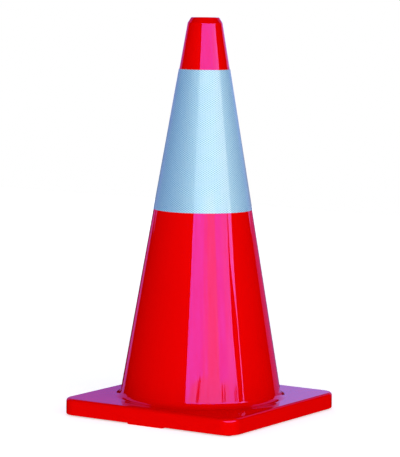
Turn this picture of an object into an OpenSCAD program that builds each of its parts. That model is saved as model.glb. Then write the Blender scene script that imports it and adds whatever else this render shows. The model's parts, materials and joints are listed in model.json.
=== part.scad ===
// Traffic cone: a tall hollow cone on a weighted square base, with a reflective collar that lifts off.
// Millimetres, +Z up. The origin is on the ground, under the axis of the cone.

/* [Cone] */
// Height of the whole object
total_h = 700; // [560:5:860]
// Outer diameter of the cone's slope at the level of its flat top
crown_slope_d = 57.8; // [54:0.2:68]
// Outer diameter of the cone where it meets the base
foot_d = 287; // [230:1:300]
// Thickness of the cone's wall
cone_wall = 2.8; // [2:0.1:4]
// Radius of the fillet between the cone and the base
foot_fillet_r = 12; // [6:1:14]

/* [Crown] */
// Outer diameter of the flat rim around the hole in the top
rim_d = 49; // [46:0.2:50]
// Height of the bevel around the crown
crown_bevel_h = 9.6; // [4:0.2:14]
// Diameter of the hole in the top
top_hole_d = 38; // [30:1:40]
// Depth of the straight part of the hole in the top
top_hole_depth = 12; // [8:1:16]
// Height over which the straight hole widens into the hollow of the cone
crown_taper_h = 14; // [10:1:24]

/* [Foot flange] */
// Width of the flange beyond the foot fillet
flange_margin = 4.6; // [3:0.2:8]
// Thickness of the flange
flange_t = 3; // [2:0.5:4]

/* [Anti-jam ribs] */
// Number of ribs inside the cone
rib_count = 6; // [3:1:12]
// Width of one rib
rib_w = 4; // [2:0.5:8]
// Height of one rib above the inner wall
rib_h = 1.2; // [0.6:0.1:1.4]
// Height of the ribs' lower ends above the ground
rib_bottom_z = 60; // [50:5:100]
// Length of the ribs
rib_length = 160; // [80:5:240]

/* [Base] */
// Width of the square base
base_w = 357; // [350:1:440]
// Corner radius of the base, seen from above
base_corner_r = 27; // [15:1:40]
// Height of the top of the base above the ground
base_h = 30.8; // [24:0.2:44]
// Thickness of the base cover's skirt
skirt_wall = 4; // [3:0.5:6]
// Thickness of the base cover's top
cover_top_t = 6; // [5:0.5:8]
// Radius of the round along the base's top edge
top_edge_r = 5.5; // [2:0.5:8]
// Radius of the round along the base's lower edge
lower_edge_r = 2; // [1:0.5:3]

/* [Feet] */
// Height of the feet below the skirt
foot_h = 2.1; // [1:0.1:4]
// Length of the foot in the middle of a side
side_foot_l = 74; // [40:1:110]
// Width of a side foot
side_foot_w = 20; // [14:1:22]
// Distance of a side foot in from the outline of the base
side_foot_inset = 1.2; // [0.5:0.1:3]
// Width of a square corner foot
corner_foot_w = 30; // [20:1:34]
// Distance of a corner foot in from the two sides at its corner
corner_foot_inset = 12; // [9:1:14]
// Radius of the corners of the feet, seen from above
foot_corner_r = 4; // [2:0.5:7]

/* [Ballast] */
// Depth of the ballast inside the lower edge of the skirt
ballast_recess = 1.5; // [1:0.5:4]
// Size of the flare around the hollow at the underside
underside_flare = 13; // [8:1:14]

/* [Collar] */
// Height of the collar's lower edge above the ground
collar_z = 363; // [300:1:400]
// Width of the collar, measured along the slope
collar_w = 250; // [100:5:260]
// Thickness of the collar's backing
backing_t = 0.35; // [0.2:0.05:0.6]
// Thickness of the reflective sheeting
sheeting_t = 0.25; // [0.2:0.05:0.5]
// Width of the strip welded over the seam
seam_w = 16; // [10:1:24]
// Thickness of the seam strip
seam_t = 0.3; // [0.2:0.05:0.5]
// Width of the gap between the two ends of the sheeting, under the seam strip
seam_gap = 2; // [1:0.5:4]
// Direction that the seam faces, around the cone
seam_turn = 123; // [0:1:359]
// Step in the cone that the collar sits on
collar_ledge = 0.5; // [0.4:0.05:0.8]

/* [Clearances] */
// Gap between the collar and the cone
collar_clearance = 0.3; // [0.2:0.05:0.35]
// Gap around the rim of the foot flange
flange_clearance = 0.2; // [0.1:0.05:0.5]

/* [Hidden] */
$fn = 180;

// Extra depth of a cut past the face that it opens
cut = 1;
// Depth of a rib's root in the wall
rib_root = 1;

pvc_red = "red";
ballast_black = "dimgray";
backing_white = "white";
sheeting_blue = "lightsteelblue";
seam_white = "gainsboro";

// The slope of the cone
upper_drop = (foot_d / 2 - collar_ledge - crown_slope_d / 2) / (total_h - base_h);
slope_angle = atan(upper_drop);
wall_across = cone_wall / cos(slope_angle);

// Heights of the base's layers
skirt_z = foot_h;
skirt_h = base_h - foot_h;
ballast_z = skirt_z + ballast_recess;
cavity_top_z = base_h - cover_top_t;
flange_z = base_h - flange_t;

// The foot of the cone
fillet_centre_z = base_h + foot_fillet_r;
fillet_centre_r = outer_r(fillet_centre_z) + foot_fillet_r / cos(slope_angle);
flange_r = fillet_centre_r + flange_margin;

// The crown
bevel_z = total_h - crown_bevel_h;
hole_end_z = total_h - top_hole_depth;
hollow_top_z = hole_end_z - crown_taper_h;

// The collar
collar_top_z = collar_z + collar_w * cos(slope_angle);
backing_inner = collar_clearance;
backing_outer = backing_inner + backing_t / cos(slope_angle);
sheeting_outer = backing_outer + sheeting_t / cos(slope_angle);
seam_outer = sheeting_outer + seam_t / cos(slope_angle);
seam_gap_angle = 2 * asin(seam_gap / 2 / slope_r(collar_top_z));

// Radius of the slope at height z, above the collar's ledge
function slope_r(z) = crown_slope_d / 2 + (total_h - z) * upper_drop;

// Radius of the cone's outside at height z, below the collar's ledge
function outer_r(z) = slope_r(z) + collar_ledge;

// Radius of the hollow at height z
function inner_r(z) = slope_r(z) - wall_across;

// Wall of the cone, from the foot flange to the crown
module wall_section() {
    polygon([
        [inner_r(flange_z), flange_z],
        [outer_r(base_h), flange_z],
        [outer_r(base_h), base_h],
        [outer_r(collar_z), collar_z],
        [slope_r(collar_z), collar_z],
        [slope_r(bevel_z), bevel_z],
        [rim_d / 2, total_h],
        [top_hole_d / 2, total_h],
        [top_hole_d / 2, hole_end_z],
        [inner_r(hollow_top_z), hollow_top_z]
    ]);
}

// Fillet at the foot of the cone, hollowed by a circle that is tangent to the slope and the base
module fillet_section() {
    difference() {
        polygon([
            [inner_r(base_h) + cone_wall / 2, base_h],
            [fillet_centre_r, base_h],
            [fillet_centre_r, fillet_centre_z],
            [fillet_centre_r - foot_fillet_r * cos(slope_angle),
             fillet_centre_z - foot_fillet_r * sin(slope_angle)]
        ]);
        translate([fillet_centre_r, fillet_centre_z]) circle(foot_fillet_r);
    }
}

// Ribs that keep stacked cones from jamming
module anti_jam_ribs() {
    rib_top_z = rib_bottom_z + rib_length;
    intersection() {
        rotate_extrude() polygon([
            [inner_r(rib_bottom_z) - rib_h, rib_bottom_z],
            [inner_r(rib_bottom_z) + rib_root, rib_bottom_z],
            [inner_r(rib_top_z) + rib_root, rib_top_z],
            [inner_r(rib_top_z) - rib_h, rib_top_z]
        ]);
        for (turn = [0 : 360 / rib_count : 359])
            rotate([0, 0, turn])
                translate([0, -rib_w / 2, rib_bottom_z]) cube([foot_d / 2, rib_w, rib_length]);
    }
}

// Hollow cone with a bevelled crown and an out-turned flange at its foot
module cone_shell() {
    color(pvc_red) {
        rotate_extrude() {
            wall_section();
            fillet_section();
            translate([outer_r(base_h) - cone_wall / 2, flange_z])
                square([flange_r - outer_r(base_h) + cone_wall / 2, flange_t]);
        }
        anti_jam_ribs();
    }
}

// Square outline with round corners, inset from the outline of the base
module base_outline(inset) {
    width = base_w - 2 * inset;
    radius = base_corner_r - inset;
    straight = width - 2 * radius;
    square([width, straight], center = true);
    square([straight, width], center = true);
    for (x = [-1, 1], y = [-1, 1])
        translate([x * straight / 2, y * straight / 2]) circle(radius);
}

// Section through the rim of the base, with its two rounded edges
module rim_section() {
    difference() {
        square([base_corner_r, skirt_h]);
        difference() {
            translate([base_corner_r - top_edge_r, skirt_h - top_edge_r]) square(top_edge_r + cut);
            translate([base_corner_r - top_edge_r, skirt_h - top_edge_r]) circle(top_edge_r);
        }
        difference() {
            translate([base_corner_r - lower_edge_r, -cut]) square(lower_edge_r + cut);
            translate([base_corner_r - lower_edge_r, lower_edge_r]) circle(lower_edge_r);
        }
    }
}

// Solid base with rounded edges: a middle block, four straight rims and four turned corners
module base_block() {
    straight = base_w - 2 * base_corner_r;
    translate([-straight / 2, -straight / 2, skirt_z]) cube([straight, straight, skirt_h]);
    for (turn = [0 : 90 : 270])
        rotate([0, 0, turn])
            translate([straight / 2, straight / 2, skirt_z]) {
                rotate([90, 0, 0]) linear_extrude(straight) rim_section();
                rotate_extrude(angle = 90) rim_section();
            }
}

// Block with round corners, standing on the ground at the centre of its underside
module foot(length, width) {
    linear_extrude(ballast_z) {
        square([length, width - 2 * foot_corner_r], center = true);
        square([length - 2 * foot_corner_r, width], center = true);
        for (x = [-1, 1], y = [-1, 1])
            translate([x * (length / 2 - foot_corner_r), y * (width / 2 - foot_corner_r)])
                circle(foot_corner_r);
    }
}

// Feet under the middle of two sides
module side_feet() {
    place = base_w / 2 - side_foot_inset - side_foot_w / 2;
    for (y = [-1, 1])
        translate([0, y * place, 0]) foot(side_foot_l, side_foot_w);
}

// Feet under the four corners
module corner_feet() {
    place = base_w / 2 - corner_foot_inset - corner_foot_w / 2;
    for (x = [-1, 1], y = [-1, 1])
        translate([x * place, y * place, 0]) foot(corner_foot_w, corner_foot_w);
}

// Hollow of the cone carried on down through the base
module throat(low_z, high_z) {
    translate([0, 0, low_z])
        cylinder(h = high_z - low_z, r1 = inner_r(low_z), r2 = inner_r(high_z));
}

// Square cover with a skirt, two side feet and a seat for the cone's flange
module base_cover() {
    color(pvc_red) {
        difference() {
            base_block();
            translate([0, 0, skirt_z - cut])
                linear_extrude(cavity_top_z - skirt_z + cut) base_outline(skirt_wall);
            throat(skirt_z, flange_z + cut);
            translate([0, 0, flange_z]) cylinder(h = flange_t + cut, r = flange_r + flange_clearance);
        }
        side_feet();
    }
}

// Heavy square ring that fills the underside of the cover, with a foot under each corner
module base_ballast() {
    color(ballast_black) {
        difference() {
            translate([0, 0, ballast_z])
                linear_extrude(cavity_top_z - ballast_z) base_outline(skirt_wall);
            throat(ballast_z - cut, cavity_top_z + cut);
            translate([0, 0, ballast_z - cut])
                cylinder(h = underside_flare + cut,
                         r1 = inner_r(ballast_z) + underside_flare + cut, r2 = inner_r(ballast_z));
        }
        corner_feet();
    }
}

// Section of one layer of the collar, between two distances out from the cone's slope
module collar_section(inner, outer) {
    polygon([
        [slope_r(collar_z) + inner, collar_z],
        [slope_r(collar_z) + outer, collar_z],
        [slope_r(collar_top_z) + outer, collar_top_z],
        [slope_r(collar_top_z) + inner, collar_top_z]
    ]);
}

// Flexible sleeve that rests on the cone's ledge
module collar_backing() {
    color(backing_white) rotate_extrude() collar_section(backing_inner, backing_outer);
}

// Reflective sheeting around the backing, with its two ends at the seam
module collar_sheeting() {
    color(sheeting_blue)
        rotate([0, 0, seam_turn + seam_gap_angle / 2])
            rotate_extrude(angle = 360 - seam_gap_angle) collar_section(backing_outer, sheeting_outer);
}

// Strip welded over the seam
module collar_seam_strip() {
    color(seam_white)
        intersection() {
            rotate_extrude() collar_section(sheeting_outer, seam_outer);
            rotate([0, 0, seam_turn])
                translate([0, -seam_w / 2, collar_z - cut])
                    cube([foot_d / 2, seam_w, collar_w + 2 * cut]);
        }
}

cone_shell();
base_cover();
base_ballast();
collar_backing();
collar_sheeting();
collar_seam_strip();
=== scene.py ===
import json
import math

import bmesh
import bpy
from mathutils import Matrix, Vector


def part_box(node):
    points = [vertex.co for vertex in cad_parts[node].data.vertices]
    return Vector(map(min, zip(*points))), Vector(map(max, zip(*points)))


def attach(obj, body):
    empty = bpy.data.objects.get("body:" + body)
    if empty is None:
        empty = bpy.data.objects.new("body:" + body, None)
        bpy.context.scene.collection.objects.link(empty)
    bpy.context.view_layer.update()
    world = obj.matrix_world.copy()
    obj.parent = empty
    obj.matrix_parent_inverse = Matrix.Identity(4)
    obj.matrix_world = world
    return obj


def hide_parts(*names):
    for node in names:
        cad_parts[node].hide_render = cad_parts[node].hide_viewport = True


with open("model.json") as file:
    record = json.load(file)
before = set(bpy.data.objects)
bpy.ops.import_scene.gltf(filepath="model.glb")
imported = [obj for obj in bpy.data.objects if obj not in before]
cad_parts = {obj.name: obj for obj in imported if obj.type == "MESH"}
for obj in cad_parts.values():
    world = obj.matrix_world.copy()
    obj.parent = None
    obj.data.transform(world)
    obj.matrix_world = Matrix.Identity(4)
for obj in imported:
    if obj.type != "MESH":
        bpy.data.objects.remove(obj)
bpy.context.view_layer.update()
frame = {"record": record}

MM = 0.001
FULL_TURN = 2 * math.pi
QUARTER_TURN = math.pi / 2

# Sizes that the frame gives
CONE_LOW, CONE_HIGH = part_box("cone_shell")
BASE_LOW, BASE_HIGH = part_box("base_cover")
BALLAST_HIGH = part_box("base_ballast")[1]
COLLAR_LOW, COLLAR_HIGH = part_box("collar_backing")
TOTAL_H = CONE_HIGH.z
BASE_W = BASE_HIGH.x - BASE_LOW.x
BASE_H = BASE_HIGH.z
FLANGE_R = CONE_HIGH.x
FLANGE_Z = CONE_LOW.z
COLLAR_Z = COLLAR_LOW.z
COLLAR_TOP = COLLAR_HIGH.z
CAVITY_Z = BALLAST_HIGH.z
TOP_HOLE_R = next(m for m in frame["record"]["mounts"] if m["name"] == "top_opening")["dims"]["r_mm"] * MM

# The cone
CROWN_SLOPE_R = 28.9 * MM
FOOT_R = 143.5 * MM
CONE_WALL = 2.8 * MM
FOOT_FILLET_R = 12 * MM
COLLAR_LEDGE = 0.5 * MM
RIM_R = 24.5 * MM
CROWN_BEVEL_H = 9.6 * MM
TOP_HOLE_DEPTH = 12 * MM
CROWN_TAPER_H = 14 * MM
RIB_COUNT = 6
RIB_W = 4 * MM
RIB_H = 1.2 * MM
RIB_BOTTOM = 60 * MM
RIB_LENGTH = 160 * MM

# The base
CORNER_R = 27 * MM
SKIRT_Z = 2.1 * MM
SEAT_GAP = 0.02 * MM
SKIRT_WALL = 4 * MM
TOP_EDGE_R = 5.5 * MM
LOWER_EDGE_R = 2 * MM
BALLAST_Z = 3.6 * MM
UNDERSIDE_FLARE = 13 * MM
SIDE_FOOT = (74 * MM, 20 * MM)
SIDE_FOOT_INSET = 1.2 * MM
CORNER_FOOT = (30 * MM, 30 * MM)
CORNER_FOOT_INSET = 12 * MM
FOOT_CORNER_R = 4 * MM

# The collar
COLLAR_GAP = 0.3 * MM
BACKING_T = 0.35 * MM
SHEETING_T = 0.25 * MM
SEAM_T = 0.3 * MM
SEAM_W = 16 * MM
SEAM_GAP = 2 * MM
SEAM_TURN = math.radians(123)

# How finely the round pieces are turned
TURN_STEPS = 192

SLOPE = (FOOT_R - COLLAR_LEDGE - CROWN_SLOPE_R) / (TOTAL_H - BASE_H)
SLOPE_ANGLE = math.atan(SLOPE)
APEX_Z = TOTAL_H + CROWN_SLOPE_R / SLOPE


def slope_r(z):
    """Radius of the cone's slope at height z, above the collar's ledge."""
    return CROWN_SLOPE_R + (TOTAL_H - z) * SLOPE


def outer_r(z):
    """Radius of the cone's outside at height z, below the collar's ledge."""
    return slope_r(z) + COLLAR_LEDGE


def inner_r(z):
    """Radius of the hollow at height z."""
    return slope_r(z) - CONE_WALL / math.cos(SLOPE_ANGLE)


# ---------------------------------------------------------------- mesh helpers

def section(bm, points, closed=True):
    """A chain of edges through (radius, height) points, in the XZ plane."""
    verts = [bm.verts.new((radius, 0, z)) for radius, z in points]
    ends = zip(verts, verts[1:] + verts[:1]) if closed else zip(verts, verts[1:])
    edges = [bm.edges.new(pair) for pair in ends]
    return verts, edges


def cut_long_edges(bm, edges, longest):
    """Cuts each edge into equal lengths, none longer than the longest."""
    for edge in edges:
        cuts = int(edge.calc_length() / longest)
        if cuts:
            bmesh.ops.subdivide_edges(bm, edges=[edge], cuts=cuts)


def turn(bm, angle=FULL_TURN, steps=TURN_STEPS, geom=None):
    """Turns a section about the cone's axis."""
    whole = abs(angle - FULL_TURN) < 1e-6
    bmesh.ops.spin(bm, geom=geom or bm.verts[:] + bm.edges[:], cent=(0, 0, 0), axis=(0, 0, 1),
                   angle=angle, steps=steps, use_merge=whole)
    bmesh.ops.remove_doubles(bm, verts=bm.verts[:], dist=1e-6)


def ring_edges(bm, radius, z, near=1e-5):
    """The edges of one level ring, found by its radius and height."""
    def on_ring(vert):
        return abs(vert.co.z - z) < near and abs(vert.co.xy.length - radius) < near
    return [e for e in bm.edges if all(on_ring(v) for v in e.verts)]


def round_edges(bm, edges, offset, segments):
    """Rounds edges with an even arc."""
    bmesh.ops.bevel(bm, geom=edges, offset=offset, offset_type="OFFSET", segments=segments,
                    profile=0.5, affect="EDGES", clamp_overlap=True, material=-1)


def finish_piece(bm, name, body, node, material, even=True):
    """Makes the object, shades it smooth and lets it stand for its CAD node."""
    bmesh.ops.recalc_face_normals(bm, faces=bm.faces[:])
    for face in bm.faces:
        face.smooth = True
    mesh = bpy.data.meshes.new(name)
    bm.to_mesh(mesh)
    bm.free()
    piece = bpy.data.objects.new(name, mesh)
    bpy.context.scene.collection.objects.link(piece)
    mesh.materials.append(material)
    mesh.set_sharp_from_angle(angle=math.radians(50))
    if even:
        shading = piece.modifiers.new("even_shading", "WEIGHTED_NORMAL")
        shading.keep_sharp = True
        shading.weight = 100
    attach(piece, body)
    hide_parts(node)
    return piece


def rounded_block(bm, size, centre_xy, low_z, high_z, corner_r, corner_steps, side_steps=1):
    """A closed block with upright round corners and evenly cut sides. Returns its bottom face."""
    half_x, half_y = size[0] / 2 - corner_r, size[1] / 2 - corner_r
    corners = ((half_x, half_y), (-half_x, half_y), (-half_x, -half_y), (half_x, -half_y))
    outline = []
    for quarter, corner in enumerate(corners):
        first_angle = quarter * QUARTER_TURN
        out = Vector((math.cos(first_angle), math.sin(first_angle)))
        along = Vector((-out.y, out.x))
        length = 2 * (half_y if quarter % 2 == 0 else half_x)
        side_end = Vector(corner) + corner_r * out
        for step in range(side_steps):
            outline.append(side_end - along * length * (1 - step / side_steps))
        for step in range(corner_steps):
            angle = first_angle + step / corner_steps * QUARTER_TURN
            outline.append(Vector(corner) + corner_r * Vector((math.cos(angle), math.sin(angle))))
    middle = Vector(centre_xy)
    bottom = bm.faces.new([bm.verts.new((*(middle + point), low_z)) for point in outline])
    raised = bmesh.ops.extrude_face_region(bm, geom=[bottom], use_keep_orig=True)["geom"]
    bmesh.ops.translate(bm, verts=[g for g in raised if isinstance(g, bmesh.types.BMVert)],
                        vec=(0, 0, high_z - low_z))
    bmesh.ops.recalc_face_normals(bm, faces=bm.faces[:])
    return bottom


def flat_face(bm, z):
    """The one many-sided level face at height z."""
    return next(f for f in bm.faces if len(f.verts) > 20 and abs(f.calc_center_median().z - z) < 1e-5
                and abs(f.normal.z) > 0.99)


# ---------------------------------------------------------------- pieces

def cone_piece(material):
    """The cone: wall, bevelled crown, foot fillet, flange and the ribs inside."""
    bevel_z = TOTAL_H - CROWN_BEVEL_H
    hole_end = TOTAL_H - TOP_HOLE_DEPTH
    hollow_top = hole_end - CROWN_TAPER_H
    bm = bmesh.new()
    section(bm, [
        (inner_r(FLANGE_Z), FLANGE_Z), (FLANGE_R, FLANGE_Z), (FLANGE_R, BASE_H), (outer_r(BASE_H), BASE_H),
        (outer_r(COLLAR_Z), COLLAR_Z), (slope_r(COLLAR_Z), COLLAR_Z), (slope_r(bevel_z), bevel_z),
        (RIM_R, TOTAL_H), (TOP_HOLE_R, TOTAL_H), (TOP_HOLE_R, hole_end), (inner_r(hollow_top), hollow_top)])
    turn(bm)
    tangent = FOOT_FILLET_R * math.tan((math.pi / 2 - SLOPE_ANGLE) / 2)
    round_edges(bm, ring_edges(bm, outer_r(BASE_H), BASE_H), tangent, 14)
    for radius, z, offset, steps in (
            (slope_r(bevel_z), bevel_z, 0.6 * MM, 4), (RIM_R, TOTAL_H, 0.6 * MM, 4),
            (TOP_HOLE_R, TOTAL_H, 0.8 * MM, 4), (TOP_HOLE_R, hole_end, 1.0 * MM, 3),
            (inner_r(hollow_top), hollow_top, 2 * MM, 3),
            (outer_r(COLLAR_Z), COLLAR_Z, 0.15 * MM, 2)):
        round_edges(bm, ring_edges(bm, radius, z), offset, steps)
    upright = [e for e in bm.edges if abs(e.verts[0].co.z - e.verts[1].co.z) > 100 * MM]
    bmesh.ops.subdivide_edges(bm, edges=upright, cuts=11)
    add_ribs(bm)
    return finish_piece(bm, "cone_moulding", "cone", "cone_shell", material)


def add_ribs(bm):
    """Low ribs along the inside of the cone, with rounded crests."""
    root = 1 * MM
    for index in range(RIB_COUNT):
        made = bmesh.ops.create_cube(bm, size=1)["verts"]
        top = RIB_BOTTOM + RIB_LENGTH
        for vert in made:
            z = top if vert.co.z > 0 else RIB_BOTTOM
            reach = root if vert.co.x > 0 else -RIB_H
            vert.co = (inner_r(z) + reach, math.copysign(RIB_W / 2, vert.co.y), z)
        crest = {e for v in made for e in v.link_edges
                 if all(abs(w.co.x - inner_r(w.co.z) + RIB_H) < 1e-5 for w in e.verts)}
        made_edges = round_rib(bm, list(crest))
        bmesh.ops.rotate(bm, verts=made_edges, cent=(0, 0, 0),
                         matrix=Matrix.Rotation(FULL_TURN * index / RIB_COUNT, 3, "Z"))


def round_rib(bm, crest):
    """Rounds a rib's crest and returns all of the rib's vertices."""
    before = set(bm.verts) - {v for e in crest for v in e.verts}
    linked = {w for e in crest for v in e.verts for x in v.link_edges for w in x.verts}
    made = bmesh.ops.bevel(bm, geom=crest, offset=0.5 * MM, offset_type="OFFSET", segments=3,
                           profile=0.5, affect="EDGES", clamp_overlap=True, material=-1)
    return list({v for v in made["verts"]} | {v for v in linked if v.is_valid and v in before})


def base_piece(material):
    """The square cover: rounded edges, skirt, cavity, side feet and a seat for the cone's flange."""
    seat_r = FLANGE_R + SEAT_GAP
    bm = bmesh.new()
    rounded_block(bm, (BASE_W, BASE_W), (0, 0), SKIRT_Z, BASE_H, CORNER_R, 18, 30)
    round_edges(bm, flat_face(bm, BASE_H).edges[:], TOP_EDGE_R, 8)
    round_edges(bm, flat_face(bm, SKIRT_Z).edges[:], LOWER_EDGE_R, 4)
    bottom = flat_face(bm, SKIRT_Z)
    bmesh.ops.inset_region(bm, faces=[bottom], thickness=SKIRT_WALL - LOWER_EDGE_R, use_even_offset=True)
    raised = bmesh.ops.extrude_face_region(bm, geom=[bottom])["geom"]
    bmesh.ops.translate(bm, verts=[g for g in raised if isinstance(g, bmesh.types.BMVert)],
                        vec=(0, 0, CAVITY_Z - SKIRT_Z))
    # The cavity is open below, and the extrude keeps the face that it starts from
    bmesh.ops.delete(bm, geom=[bottom], context="FACES_ONLY")
    open_round_hole(bm, [(seat_r, BASE_H), (seat_r, FLANGE_Z), (inner_r(FLANGE_Z), FLANGE_Z),
                         (inner_r(CAVITY_Z), CAVITY_Z)])
    place = BASE_W / 2 - SIDE_FOOT_INSET - SIDE_FOOT[1] / 2
    for side in (-1, 1):
        add_foot(bm, SIDE_FOOT, (0, side * place), BALLAST_Z)
    return finish_piece(bm, "base_cover_moulding", "cone", "base_cover", material)


def open_round_hole(bm, points):
    """Opens the flat faces at the section's two ends and joins them to a turned round hole."""
    rims = []
    for radius, z in (points[0], points[-1]):
        face = flat_face(bm, z)
        rims.append((face.edges[:], radius, z))
        bmesh.ops.delete(bm, geom=[face], context="FACES_ONLY")
    verts, edges = section(bm, points, closed=False)
    turn(bm, geom=verts + edges)
    for rim, radius, z in rims:
        join_loops(bm, rim, ring_edges(bm, radius, z))


def join_loops(bm, outer, inner):
    """Fills between two level loops that have equally many vertices, pairing them in turn."""
    nearly = 1e-3

    def bearing(vert):
        return (math.atan2(vert.co.y, vert.co.x) + nearly) % FULL_TURN

    outside, inside = (sorted({v for e in edges for v in e.verts}, key=bearing) for edges in (outer, inner))
    for index in range(len(outside)):
        bm.faces.new((outside[index - 1], outside[index], inside[index], inside[index - 1]))


def add_foot(bm, size, centre, top):
    """A flat foot with round corners and a softened lower edge, standing on the ground."""
    part = bmesh.new()
    sole = rounded_block(part, size, centre, 0, top, FOOT_CORNER_R, 5)
    round_edges(part, sole.edges[:], 0.4 * MM, 2)
    mesh = bpy.data.meshes.new("foot")
    part.to_mesh(mesh)
    part.free()
    bm.from_mesh(mesh)
    bpy.data.meshes.remove(mesh)


def ballast_piece(material):
    """The heavy square ring in the underside, with a foot under each corner."""
    fit = 0.1 * MM
    flare_top = BALLAST_Z + UNDERSIDE_FLARE
    width = BASE_W - 2 * (SKIRT_WALL + fit)
    corner_r = CORNER_R - SKIRT_WALL - fit
    bm = bmesh.new()
    rounded_block(bm, (width, width), (0, 0), BALLAST_Z, CAVITY_Z - fit, corner_r, 12, 36)
    open_round_hole(bm, [(inner_r(CAVITY_Z), CAVITY_Z - fit), (inner_r(flare_top), flare_top),
                         (inner_r(BALLAST_Z) + UNDERSIDE_FLARE, BALLAST_Z)])
    round_edges(bm, ring_edges(bm, inner_r(flare_top), flare_top), 2 * MM, 3)
    round_edges(bm, ring_edges(bm, inner_r(BALLAST_Z) + UNDERSIDE_FLARE, BALLAST_Z), 1.5 * MM, 3)
    place = BASE_W / 2 - CORNER_FOOT_INSET - CORNER_FOOT[0] / 2
    for x in (-1, 1):
        for y in (-1, 1):
            add_foot(bm, CORNER_FOOT, (x * place, y * place), BALLAST_Z + 1 * MM)
    return finish_piece(bm, "ballast_ring", "cone", "base_ballast", material)


def collar_section(bm, inner, outer):
    """Section of one layer of the collar, between two distances out from the slope."""
    corners = [(slope_r(COLLAR_Z) + inner, COLLAR_Z), (slope_r(COLLAR_Z) + outer, COLLAR_Z),
               (slope_r(COLLAR_TOP) + outer, COLLAR_TOP), (slope_r(COLLAR_TOP) + inner, COLLAR_TOP)]
    edges = section(bm, corners)[1]
    cut_long_edges(bm, edges, 25 * MM)


def sheet_uv(bm):
    """Lays the collar out flat, as the sheet was cut, in metres."""
    layer = bm.loops.layers.uv.new("flat_sheet")
    for face in bm.faces:
        for loop in face.loops:
            place = loop.vert.co
            run = (APEX_Z - place.z) / math.cos(SLOPE_ANGLE)
            bearing = (math.atan2(place.y, place.x) - SEAM_TURN) % FULL_TURN - math.pi
            turned = bearing * math.sin(SLOPE_ANGLE)
            loop[layer].uv = (run * math.sin(turned), run * math.cos(turned))


def backing_piece(material):
    """The flexible sleeve."""
    inner = COLLAR_GAP
    bm = bmesh.new()
    collar_section(bm, inner, inner + BACKING_T)
    turn(bm)
    return finish_piece(bm, "collar_sleeve", "collar", "collar_backing", material, even=False)


def sheeting_piece(material):
    """The reflective sheeting, open at the seam."""
    inner = COLLAR_GAP + BACKING_T
    gap_angle = 2 * math.asin(SEAM_GAP / 2 / slope_r(COLLAR_TOP))
    bm = bmesh.new()
    collar_section(bm, inner, inner + SHEETING_T)
    bmesh.ops.rotate(bm, verts=bm.verts[:], cent=(0, 0, 0),
                     matrix=Matrix.Rotation(SEAM_TURN + gap_angle / 2, 3, "Z"))
    turn(bm, angle=FULL_TURN - gap_angle)
    ends = [e for e in bm.edges if len(e.link_faces) == 1]
    bmesh.ops.holes_fill(bm, edges=ends, sides=0)
    sheet_uv(bm)
    return finish_piece(bm, "reflective_sheet", "collar", "collar_sheeting",
                        material, even=False)


def seam_piece(material):
    """The strip welded over the seam, of one width from end to end."""
    inner = COLLAR_GAP + BACKING_T + SHEETING_T
    bm = bmesh.new()
    half = math.asin(SEAM_W / 2 / slope_r(COLLAR_TOP))
    collar_section(bm, inner, inner + SEAM_T)
    bmesh.ops.rotate(bm, verts=bm.verts[:], cent=(0, 0, 0), matrix=Matrix.Rotation(-half, 3, "Z"))
    turn(bm, angle=2 * half, steps=12)
    for vert in bm.verts:
        radius = vert.co.xy.length
        angle = math.atan2(vert.co.y, vert.co.x) * slope_r(COLLAR_TOP) / slope_r(vert.co.z)
        vert.co.x, vert.co.y = radius * math.cos(angle), radius * math.sin(angle)
    bmesh.ops.holes_fill(bm, edges=[e for e in bm.edges if len(e.link_faces) == 1], sides=0)
    bmesh.ops.rotate(bm, verts=bm.verts[:], cent=(0, 0, 0), matrix=Matrix.Rotation(SEAM_TURN, 3, "Z"))
    sheet_uv(bm)
    return finish_piece(bm, "seam_strip", "collar", "collar_seam_strip", material, even=False)


# ---------------------------------------------------------------- materials

class Nodes:
    """Short calls for building one material's nodes."""

    def __init__(self, name):
        self.material = bpy.data.materials.new(name)
        self.material.use_nodes = True
        self.tree = self.material.node_tree
        self.shader = self.tree.nodes["Principled BSDF"]

    def add(self, kind, links=None, **settings):
        node = self.tree.nodes.new(kind)
        for key, value in settings.items():
            setattr(node, key, value)
        for socket, value in (links or {}).items():
            self.feed(node.inputs[socket], value)
        return node

    def feed(self, socket, value):
        if isinstance(value, bpy.types.NodeSocket):
            self.tree.links.new(value, socket)
        else:
            socket.default_value = value

    def math(self, operation, first, second=0.0, third=0.0, clamp=False):
        node = self.add("ShaderNodeMath", operation=operation, use_clamp=clamp)
        for socket, value in zip(node.inputs, (first, second, third)):
            self.feed(socket, value)
        return node.outputs[0]

    def spread(self, value, low, high, to_low=0.0, to_high=1.0):
        node = self.add("ShaderNodeMapRange", {0: value, 1: low, 2: high, 3: to_low, 4: to_high})
        return node.outputs[0]

    def noise(self, vector, scale, detail=3.0, roughness=0.5):
        node = self.add("ShaderNodeTexNoise", {"Vector": vector, "Scale": scale, "Detail": detail,
                                               "Roughness": roughness})
        return node.outputs["Fac"]

    def blend(self, share, first, second):
        node = self.add("ShaderNodeMix", data_type="RGBA")
        self.feed(node.inputs[0], share)
        self.feed(node.inputs[6], first)
        self.feed(node.inputs[7], second)
        return node.outputs[2]

    def bump(self, height, strength, distance, normal=None):
        links = {"Height": height, "Strength": strength, "Distance": distance}
        if normal is not None:
            links["Normal"] = normal
        return self.add("ShaderNodeBump", links).outputs["Normal"]

    def place(self):
        return self.add("ShaderNodeTexCoord").outputs["Object"]

    def set(self, **values):
        for name, value in values.items():
            self.feed(self.shader.inputs[name.replace("_", " ")], value)


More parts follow.
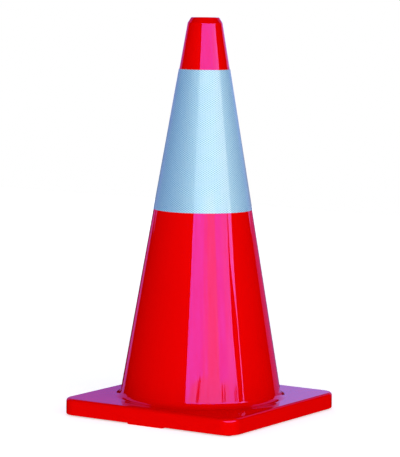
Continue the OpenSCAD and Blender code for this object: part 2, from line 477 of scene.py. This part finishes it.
def red_pvc():
    """High-gloss flexible PVC: a faint ripple from the mould, draw lines down the slope and fine scuffs."""
    n = Nodes("red_pvc")
    place = n.place()
    cloud = n.noise(place, 6.0, 3.0)
    grain = n.noise(place, 900.0, 2.0)
    ripple = n.noise(place, 22.0, 1.0)
    parts = n.add("ShaderNodeSeparateXYZ", {0: place})
    level = n.add("ShaderNodeCombineXYZ", {0: parts.outputs[0], 1: parts.outputs[1]}).outputs[0]
    around_axis = n.add("ShaderNodeVectorMath", {0: level}, operation="NORMALIZE").outputs[0]
    rise = n.add("ShaderNodeCombineXYZ", {2: n.math("MULTIPLY", parts.outputs[2], 0.35)}).outputs[0]
    stretched = n.add("ShaderNodeVectorMath", {0: around_axis, 1: rise}, operation="ADD").outputs[0]
    draw = n.noise(stretched, 34.0, 4.0, 0.6)
    scuff = n.spread(n.noise(place, 60.0, 6.0, 0.75), 0.60, 0.72)
    drawn_gloss = n.spread(draw, 0.35, 0.65, 0.43, 0.57)
    n.set(Base_Color=n.blend(cloud, (0.65, 0.0004, 0.0003, 1), (0.70, 0.0005, 0.0003, 1)),
          Specular_IOR_Level=n.math("SUBTRACT", drawn_gloss, n.math("MULTIPLY", scuff, 0.15)),
          Roughness=n.spread(n.math("ADD", n.math("MULTIPLY", cloud, 0.7), n.math("MULTIPLY", grain, 0.3)),
                             0.3, 0.7, 0.02, 0.045),
          Normal=n.bump(ripple, 0.10, 0.4 * MM))
    n.set(IOR=1.6, Specular_Tint=(0.3, 0.13, 1.0, 1))
    return n.material


def recycled_pvc():
    """Coarse dark PVC made of crumbs of many colours."""
    n = Nodes("recycled_pvc")
    place = n.place()
    crumbs = n.add("ShaderNodeTexVoronoi", {"Vector": place, "Scale": 260.0})
    shade = n.spread(crumbs.outputs["Color"], 0.0, 1.0, 0.012, 0.05)
    pits = n.noise(place, 420.0, 4.0, 0.6)
    colour = n.add("ShaderNodeCombineColor", {0: shade, 1: shade, 2: n.math("MULTIPLY", shade, 1.06)})
    n.set(Base_Color=colour.outputs[0], Roughness=n.spread(pits, 0.3, 0.7, 0.55, 0.85),
          Normal=n.bump(pits, 0.6, 0.3 * MM))
    return n.material


def white_pvc():
    """Smooth white film with a faint calendered grain."""
    n = Nodes("white_pvc")
    place = n.place()
    grain = n.noise(place, 1200.0, 2.0)
    n.set(Base_Color=n.blend(n.noise(place, 8.0), (0.74, 0.76, 0.78, 1), (0.82, 0.83, 0.84, 1)),
          Roughness=n.spread(grain, 0.3, 0.7, 0.38, 0.5), Normal=n.bump(grain, 0.15, 0.05 * MM))
    return n.material


LATTICE_W = 5.6 * MM
LATTICE_H = 3.7 * MM


def lattice(n, flat):
    """One on the lines of a diamond lattice, and nought inside its cells."""
    parts = n.add("ShaderNodeSeparateXYZ", {0: flat})
    across = n.math("DIVIDE", parts.outputs[0], LATTICE_W)
    along = n.math("DIVIDE", parts.outputs[1], LATTICE_H)
    shares = []
    for sign in ("ADD", "SUBTRACT"):
        cell = n.math("FRACT", n.math(sign, across, along))
        shares.append(n.math("ABSOLUTE", n.math("SUBTRACT", cell, 0.5)))
    line = n.math("MAXIMUM", *shares)
    return n.spread(line, 0.34, 0.46, 0.0, 1.0)


def reflective_sheeting():
    """Clear gloss over blue-grey prisms, sealed along a paler diamond lattice."""
    n = Nodes("reflective_sheeting")
    flat = n.add("ShaderNodeUVMap", uv_map="flat_sheet").outputs[0]
    line = lattice(n, flat)
    prisms = n.noise(flat, 1400.0, 1.0)
    cloud = n.noise(flat, 30.0, 3.0)
    prism_colour = n.blend(prisms, (0.03, 0.22, 0.57, 1), (0.05, 0.28, 0.67, 1))
    n.set(Base_Color=n.blend(line, prism_colour, (0.32, 0.56, 0.86, 1)),
          Specular_IOR_Level=n.spread(line, 0.0, 1.0, 0.46, 0.62),
          Roughness=n.spread(n.math("ADD", cloud, n.math("MULTIPLY", line, 0.3)), 0.3, 1.0, 0.66, 0.74),
          Normal=n.bump(line, 0.35, 0.15 * MM))
    n.set(IOR=2.6, Specular_Tint=(0.9, 0.96, 0.5, 1), Coat_Weight=0.45, Coat_Roughness=0.03, Coat_IOR=1.5)
    return n.material


def seam_film():
    """Clear-coated white film, pressed flat by the welding bar."""
    n = Nodes("seam_film")
    flat = n.add("ShaderNodeUVMap", uv_map="flat_sheet").outputs[0]
    grain = n.noise(flat, 900.0, 2.0)
    n.set(Base_Color=n.blend(grain, (0.62, 0.72, 0.80, 1), (0.76, 0.84, 0.90, 1)),
          Roughness=n.spread(grain, 0.3, 0.7, 0.18, 0.30), Normal=n.bump(grain, 0.2, 0.08 * MM))
    n.set(Coat_Weight=0.6, Coat_Roughness=0.08)
    return n.material


# ---------------------------------------------------------------- camera, floor and light

VIEW_AZIMUTH = math.radians(32.86)
VIEW_DISTANCE = 4.164
VIEW_HEIGHT = 0.759
VIEW_PITCH = math.radians(5.91)
VIEW_YAW = math.radians(-0.063)
VIEW_ROLL = math.radians(0.693)
VIEW_LENS = 186.5
FLOOR_HALF = 3.4
FLOOR_GLOW = 0.54
AMBIENT = (0.38, 0.42, 0.60, 1)
CARD_DISTANCE = 5.0


def around(azimuth):
    """Level direction at an azimuth, measured from where the camera stands."""
    angle = VIEW_AZIMUTH + azimuth
    return Vector((math.sin(angle), -math.cos(angle), 0))


def add_camera():
    data = bpy.data.cameras.new("camera")
    data.lens = VIEW_LENS
    data.clip_end = 100
    camera = bpy.data.objects.new("camera", data)
    forward = -around(-VIEW_YAW) * math.cos(VIEW_PITCH) - Vector((0, 0, math.sin(VIEW_PITCH)))
    right = forward.cross(Vector((0, 0, 1))).normalized()
    up = right.cross(forward)
    tilt = Matrix.Rotation(-VIEW_ROLL, 3, forward)
    right, up = tilt @ right, tilt @ up
    turned = Matrix((right, up, -forward)).transposed().to_4x4()
    place = around(0) * VIEW_DISTANCE + Vector((0, 0, VIEW_HEIGHT))
    camera.matrix_world = Matrix.Translation(place) @ turned
    bpy.context.scene.collection.objects.link(camera)
    bpy.context.scene.camera = camera


def add_floor():
    """A pale shooting table, lit from within."""
    bm = bmesh.new()
    bmesh.ops.create_grid(bm, x_segments=1, y_segments=1, size=FLOOR_HALF)
    mesh = bpy.data.meshes.new("floor")
    bm.to_mesh(mesh)
    bm.free()
    floor = bpy.data.objects.new("floor", mesh)
    bpy.context.scene.collection.objects.link(floor)
    paint = Nodes("floor_paint")
    paint.set(Base_Color=(0.80, 0.80, 0.80, 1), Roughness=0.9, Specular_IOR_Level=0.0)
    paint.set(Emission_Color=(1, 1, 1, 1), Emission_Strength=FLOOR_GLOW)
    mesh.materials.append(paint.material)
    floor.visible_glossy = False


def add_world():
    """White to the camera, soft and even for shading, and dark in reflections."""
    world = bpy.data.worlds.new("studio")
    bpy.context.scene.world = world
    world.use_nodes = True
    tree = world.node_tree
    back = tree.nodes["Background"]
    path = tree.nodes.new("ShaderNodeLightPath")
    shade = tree.nodes.new("ShaderNodeMix")
    shade.data_type = "RGBA"
    shade.inputs[6].default_value = AMBIENT
    shade.inputs[7].default_value = (1, 1, 1, 1)
    tree.links.new(path.outputs["Is Camera Ray"], shade.inputs[0])
    tree.links.new(shade.outputs[2], back.inputs["Color"])
    world.cycles_visibility.glossy = False


def add_panel(name, radiance, colour, azimuths, heights):
    """A broad soft light, unseen in gloss, that spans two azimuths and two heights."""
    first, last = (math.radians(a) for a in azimuths)
    low, high = heights
    middle = around((first + last) / 2)
    width = 2 * CARD_DISTANCE * math.tan((last - first) / 2)
    height = high - low
    data = bpy.data.lights.new(name, "AREA")
    data.shape = "RECTANGLE"
    data.size, data.size_y = width, height
    data.color = colour
    data.energy = radiance * math.pi * width * height
    panel = bpy.data.objects.new(name, data)
    place = middle * CARD_DISTANCE + Vector((0, 0, (low + high) / 2))
    up = Vector((0, 0, 1))
    upright = Matrix((up.cross(middle), up, middle)).transposed()
    panel.matrix_world = Matrix.Translation(place) @ upright.to_4x4()
    panel.visible_camera = False
    panel.visible_glossy = False
    panel.visible_transmission = False
    bpy.context.scene.collection.objects.link(panel)


def add_card(name, outline, radiance, colour=(1.0, 1.0, 1.0), near=0.0):
    """A glowing card seen only in gloss. Its outline is in degrees of azimuth and metres of height."""
    bm = bmesh.new()
    distance = CARD_DISTANCE - near
    places = [around(math.radians(azimuth)) * distance + Vector((0, 0, z)) for azimuth, z in outline]
    bm.faces.new([bm.verts.new(place) for place in places])
    mesh = bpy.data.meshes.new(name)
    bm.to_mesh(mesh)
    bm.free()
    card = bpy.data.objects.new(name, mesh)
    bpy.context.scene.collection.objects.link(card)
    glow = Nodes(name)
    glow.set(Base_Color=(0, 0, 0, 1), Specular_IOR_Level=0.0)
    glow.set(Emission_Color=(*colour, 1), Emission_Strength=radiance)
    mesh.materials.append(glow.material)
    for kind in ("camera", "diffuse", "shadow", "transmission", "volume_scatter"):
        setattr(card, f"visible_{kind}", False)


def upright_card(name, azimuths, heights, radiance, colour=(1.0, 1.0, 1.0), near=0.0):
    """A card with level and upright edges."""
    (first, last), (low, high) = azimuths, heights
    add_card(name, [(first, low), (last, low), (last, high), (first, high)], radiance, colour, near)


CARD_LOW, BAND_LOW, CARD_HIGH = -0.76, 1.62, 2.5
STAND_NEAR = 0.25
COOL, GREY, WARM = (0.60, 0.82, 1.0), (0.85, 0.84, 0.80), (1.0, 0.87, 0.55)
VIOLET, BLUE = (0.32, 0.18, 0.85), (0.40, 0.44, 1.38)


def add_front_cards():
    """Tall cards side by side in front, in three tiers, which make the bright stripe."""
    edges = ((-21.3, 0.82), (3, 0.93), (11, 0.91), (28, 0.85), (41.5, 0.80))
    glow = ((6.4, COOL), (6.4, GREY), (6.9, WARM), (6.2, COOL))
    for number, (left, right, (radiance, colour)) in enumerate(zip(edges, edges[1:], glow)):
        span = (left[0], right[0])
        add_card(f"front_card_{number}", [left, right, (span[1], BAND_LOW), (span[0], BAND_LOW)],
                 radiance, colour)
        add_card(f"front_card_low_{number}", [(span[0], CARD_LOW), (span[1], CARD_LOW), right, left],
                 6.6, (1.0, 0.85, 0.56))
        upright_card(f"front_card_high_{number}", span, (BAND_LOW, CARD_HIGH), 6.3, (0.68, 0.82, 0.92))
    add_card("front_card_right", [
        (41.5, CARD_LOW), (56.5, CARD_LOW), (56, 0.62), (53.1, 0.92), (53.1, 1.0), (55, 1.2),
        (57.7, 1.34), (59, 1.42), (59, CARD_HIGH), (41.5, CARD_HIGH)], 6.6, (0.92, 0.86, 0.82))
    add_card("side_card", [
        (63.2, CARD_LOW), (64.4, CARD_LOW), (64.4, 0.97), (65.6, 1.12), (69, 1.26), (70.5, 1.40),
        (70.5, CARD_HIGH), (59, CARD_HIGH), (59, 1.42), (60.2, 1.33), (58.2, 1.16), (61.6, 0.97),
        (63.2, 0.88)], 7.4, (1.0, 0.95, 0.85))


def add_back_cards():
    """Dim violet and blue cards behind, which the base's top and the outlines reflect."""
    spans = (((204, 228), VIOLET), ((180, 204), VIOLET), ((156, 180), BLUE), ((132, 156), BLUE))
    for number, (azimuths, colour) in enumerate(spans):
        upright_card(f"back_card_{number}", azimuths, (0.45, 2.0), 1.0, colour)
    upright_card("high_card_right", (128, 150), (2.0, 6.0), 0.8, VIOLET)
    upright_card("high_card_left", (210, 232), (2.0, 6.0), 0.8, VIOLET)
    upright_card("low_card_right", (134, 165), (-0.8, 0.45), 0.45, (0.80, 0.2, 0.85))
    upright_card("low_card_left", (204, 216), (-0.8, 0.45), 0.8, (0.5, 0.2, 1.0))


def add_stands():
    """The dark feet of the card stands, just in front of the cards."""
    add_card("stand_left", [(-8.2, 0.785), (-3.4, 0.79), (-1.4, 0.84), (0.4, 0.875), (-0.6, 0.885),
                            (-2.6, 0.875), (-5.5, 0.83)], 0, near=STAND_NEAR)
    half = 1.1
    stands = ((31.4, (0.742, 0.79)), (34.9, (0.725, 0.775)), (50.3, (0.645, 0.69)), (53.0, (0.63, 0.675)))
    for number, (azimuth, heights) in enumerate(stands):
        upright_card(f"stand_{number}", (azimuth - half, azimuth + half), heights, 0, near=STAND_NEAR)


def add_lights():
    add_front_cards()
    add_back_cards()
    add_stands()
    add_panel("key", 2.36, (1.0, 0.92, 0.66), (-44, 62), (0.0, 4.0))
    add_panel("back_fill", 1.4, (1.0, 0.97, 0.92), (165, 205), (0.3, 3.5))


def main():
    add_camera()
    add_world()
    add_floor()
    add_lights()
    red = red_pvc()
    cone_piece(red)
    base_piece(red)
    ballast_piece(recycled_pvc())
    backing_piece(white_pvc())
    sheeting_piece(reflective_sheeting())
    seam_piece(seam_film())
    bpy.context.scene.view_settings.view_transform = "Standard"


main()
